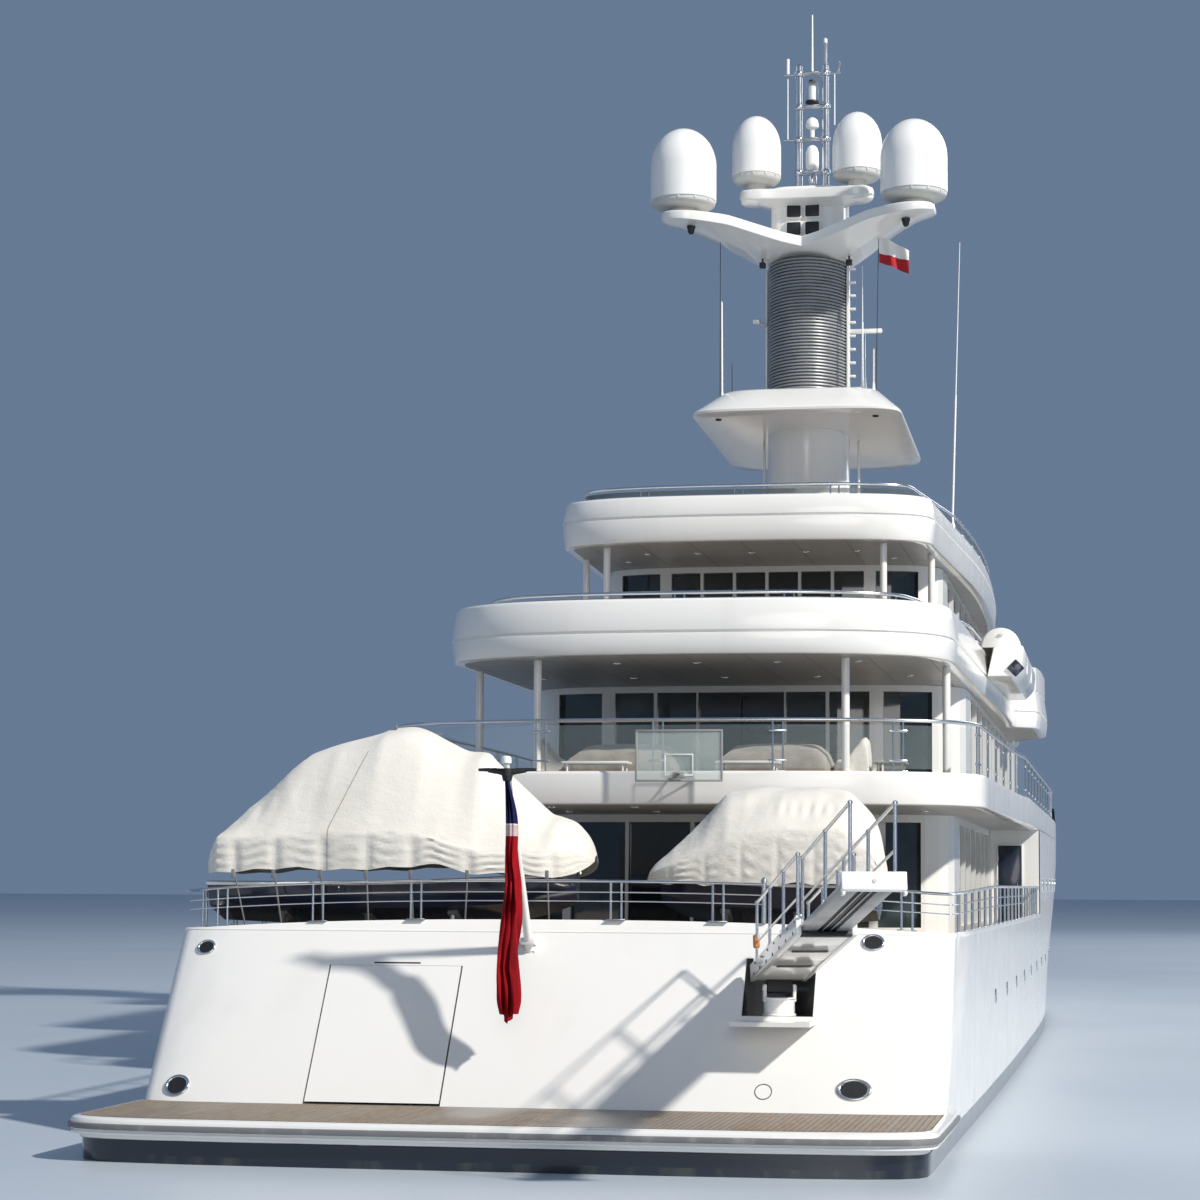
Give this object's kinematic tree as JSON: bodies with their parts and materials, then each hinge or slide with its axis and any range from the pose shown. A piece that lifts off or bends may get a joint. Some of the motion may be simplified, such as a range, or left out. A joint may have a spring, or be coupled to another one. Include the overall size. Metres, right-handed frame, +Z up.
{
  "type": "motor yacht, 1:10 scale model",
  "caption": "Decked motor yacht with raked transom, stepped aft decks, covered boats and a domed mast; doors, gangway, stabiliser fins, rudders and propellers move.",
  "frame": {"origin": "on the centreline, amidships, at the waterline", "axes": "+Y towards the bow, +X to starboard, +Z up"},
  "size_m": [1.5828, 9.0757, 3.52],
  "materials": {
    "white_paint": "gloss",
    "dark_paint": "satin",
    "tinted_glass": "gloss",
    "clear_board": "gloss",
    "stainless": "polished",
    "louvre_metal": "satin",
    "radome_shell": "gloss",
    "boat_canvas": "matte",
    "taupe_canvas": "matte",
    "red_bunting": "matte",
    "bronze": "polished"
  },
  "bodies": {
    "yacht": {"hull": "white_paint", "swim_platform": "white_paint", "aft_bulwark": "white_paint", "forecastle": "white_paint", "bow_bulwark": "white_paint", "upper_deck": "white_paint", "main_house": "white_paint", "main_glass": "tinted_glass", "upper_house": "white_paint", "upper_glass": "tinted_glass", "bridge_deck": "white_paint", "bridge_house": "white_paint", "bridge_glass": "tinted_glass", "sun_deck": "white_paint", "main_rail_port": "stainless", "main_rail_stbd": "stainless", "upper_rail": "stainless", "bridge_rail": "stainless", "sun_rail": "stainless", "mast_trunk": "white_paint", "mast_collar": "white_paint", "mast_louvre": "louvre_metal", "mast_crosstree": "white_paint", "mast_head": "white_paint", "radome_large_port": "radome_shell", "radome_large_stbd": "radome_shell", "radome_small_port": "radome_shell", "radome_small_stbd": "radome_shell", "lattice_mast": "stainless", "tender_port": "dark_paint", "tender_stbd": "dark_paint", "tender_cover_port": "boat_canvas", "tender_cover_stbd": "boat_canvas", "flagstaff": "stainless", "ensign": "red_bunting", "lounge_cover_port": "taupe_canvas", "lounge_cover_stbd": "taupe_canvas", "backboard": "clear_board", "wing_pod_stbd": "white_paint", "wing_pod_port": "white_paint", "anchor_port": "stainless", "anchor_stbd": "stainless", "shaft_stbd": "stainless", "shaft_port": "stainless", "passerelle_shelf": "white_paint"},
    "radar_scanner": {"radar_scanner": "radome_shell"},
    "propeller_port": {"propeller_port": "bronze"},
    "propeller_stbd": {"propeller_stbd": "bronze"},
    "rudder_port": {"rudder_port": "dark_paint"},
    "rudder_stbd": {"rudder_stbd": "dark_paint"},
    "fin_port": {"fin_port": "dark_paint"},
    "fin_stbd": {"fin_stbd": "dark_paint"},
    "transom_door": {"transom_door": "white_paint"},
    "main_door": {"main_door": "tinted_glass"},
    "upper_door_port": {"upper_door_port": "tinted_glass"},
    "upper_door_stbd": {"upper_door_stbd": "tinted_glass"},
    "gangway_turret": {"passerelle_turret": "white_paint"},
    "gangway_boom": {"passerelle_boom": "white_paint"},
    "gangway_section": {"passerelle_section": "stainless"}
  },
  "joints": [
    {"name": "propeller_port_spin", "type": "hinge", "parent": "yacht", "child": "propeller_port", "pos_m": [-0.29, -3.749, -0.268], "axis": [0, 0.9973, 0.0732], "continuous": true},
    {"name": "propeller_stbd_spin", "type": "hinge", "parent": "yacht", "child": "propeller_stbd", "pos_m": [0.29, -3.749, -0.268], "axis": [0, 0.9973, 0.0732], "continuous": true},
    {"name": "rudder_port_turn", "type": "hinge", "parent": "yacht", "child": "rudder_port", "pos_m": [-0.29, -3.949, -0.2], "axis": [0, 0, 1], "range_deg": [-35, 35]},
    {"name": "rudder_stbd_turn", "type": "hinge", "parent": "yacht", "child": "rudder_stbd", "pos_m": [0.29, -3.949, -0.2], "axis": [0, 0, 1], "range_deg": [-35, 35]},
    {"name": "fin_port_tilt", "type": "hinge", "parent": "yacht", "child": "fin_port", "pos_m": [-0.642, -0.019, -0.262], "axis": [-0.766, 0, -0.6428], "range_deg": [-16, 16]},
    {"name": "fin_stbd_tilt", "type": "hinge", "parent": "yacht", "child": "fin_stbd", "pos_m": [0.642, -0.019, -0.262], "axis": [0.766, 0, -0.6428], "range_deg": [-16, 16]},
    {"name": "transom_door_lift", "type": "hinge", "parent": "yacht", "child": "transom_door", "pos_m": [-0.264, -3.91866, 0.288], "axis": [-1, 0, 0], "range_deg": [0, 75]},
    {"name": "main_door_slide", "type": "slide", "parent": "yacht", "child": "main_door", "axis": [1, 0, 0], "range_m": [0, 0.15]},
    {"name": "upper_door_port_slide", "type": "slide", "parent": "yacht", "child": "upper_door_port", "axis": [-1, 0, 0], "range_m": [0, 0.105]},
    {"name": "upper_door_stbd_slide", "type": "slide", "parent": "yacht", "child": "upper_door_stbd", "axis": [1, 0, 0], "range_m": [0, 0.105]},
    {"name": "gangway_slew", "type": "hinge", "parent": "yacht", "child": "gangway_turret", "pos_m": [0.384, -3.939, 0.22], "axis": [0, 0, 1], "range_deg": [-37, 13]},
    {"name": "gangway_lift", "type": "hinge", "parent": "gangway_turret", "child": "gangway_boom", "pos_m": [0.384, -3.939, 0.258], "axis": [-0.9563, -0.2924, 0], "range_deg": [-25, 14]},
    {"name": "gangway_extend", "type": "slide", "parent": "gangway_boom", "child": "gangway_section", "axis": [-0.287, 0.9387, -0.1908], "range_m": [0, 0.33]},
    {"name": "radar_spin", "type": "hinge", "parent": "yacht", "child": "radar_scanner", "pos_m": [0, 0.041, 1.96], "axis": [0, 0, 1], "continuous": true}
  ],
  "couplings": [
    {"joint": "rudder_stbd_turn", "follows": "rudder_port_turn", "ratio": 1},
    {"joint": "fin_port_tilt", "follows": "fin_stbd_tilt", "ratio": 1},
    {"joint": "upper_door_port_slide", "follows": "upper_door_stbd_slide", "ratio": 1}
  ]
}
